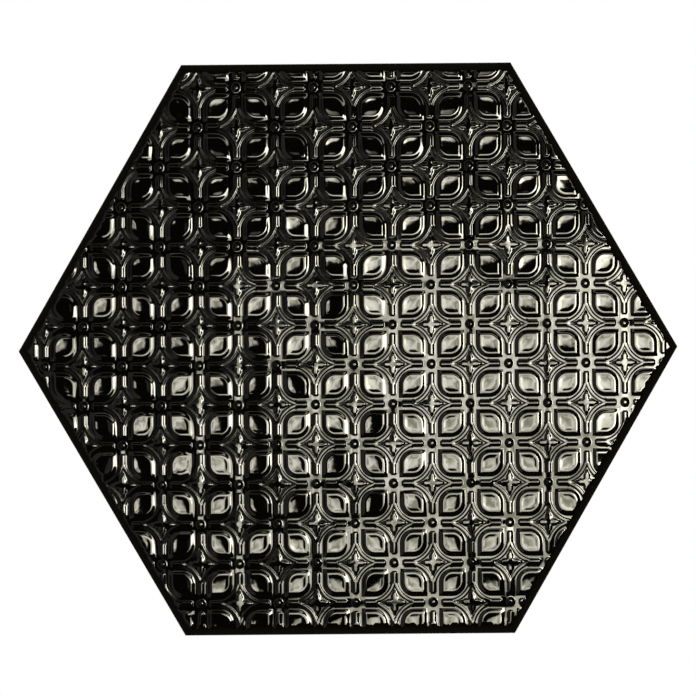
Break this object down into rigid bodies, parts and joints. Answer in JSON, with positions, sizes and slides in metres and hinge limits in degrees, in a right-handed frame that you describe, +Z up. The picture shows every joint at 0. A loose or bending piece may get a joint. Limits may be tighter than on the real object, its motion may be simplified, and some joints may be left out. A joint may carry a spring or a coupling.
{
  "type": "hexagon floor tile",
  "caption": "Hexagonal porcelain floor tile in gloss black glaze, moulded all over with a lattice of petals, round bosses and four-pointed stars inside a cushioned rim, on a ribbed back",
  "frame": {"origin": "Centre of the bedding plane, under the middle of the hexagon, where the back ribs rest on the floor", "axes": "+X runs from the centre to one corner, +Y to the middle of one side, +Z up through the glazed face"},
  "size_m": [0.33, 0.2858, 0.009],
  "materials": {
    "glazed_body": "gloss"
  },
  "bodies": {
    "root": {"hexagon_tile": "glazed_body"}
  },
  "joints": []
}
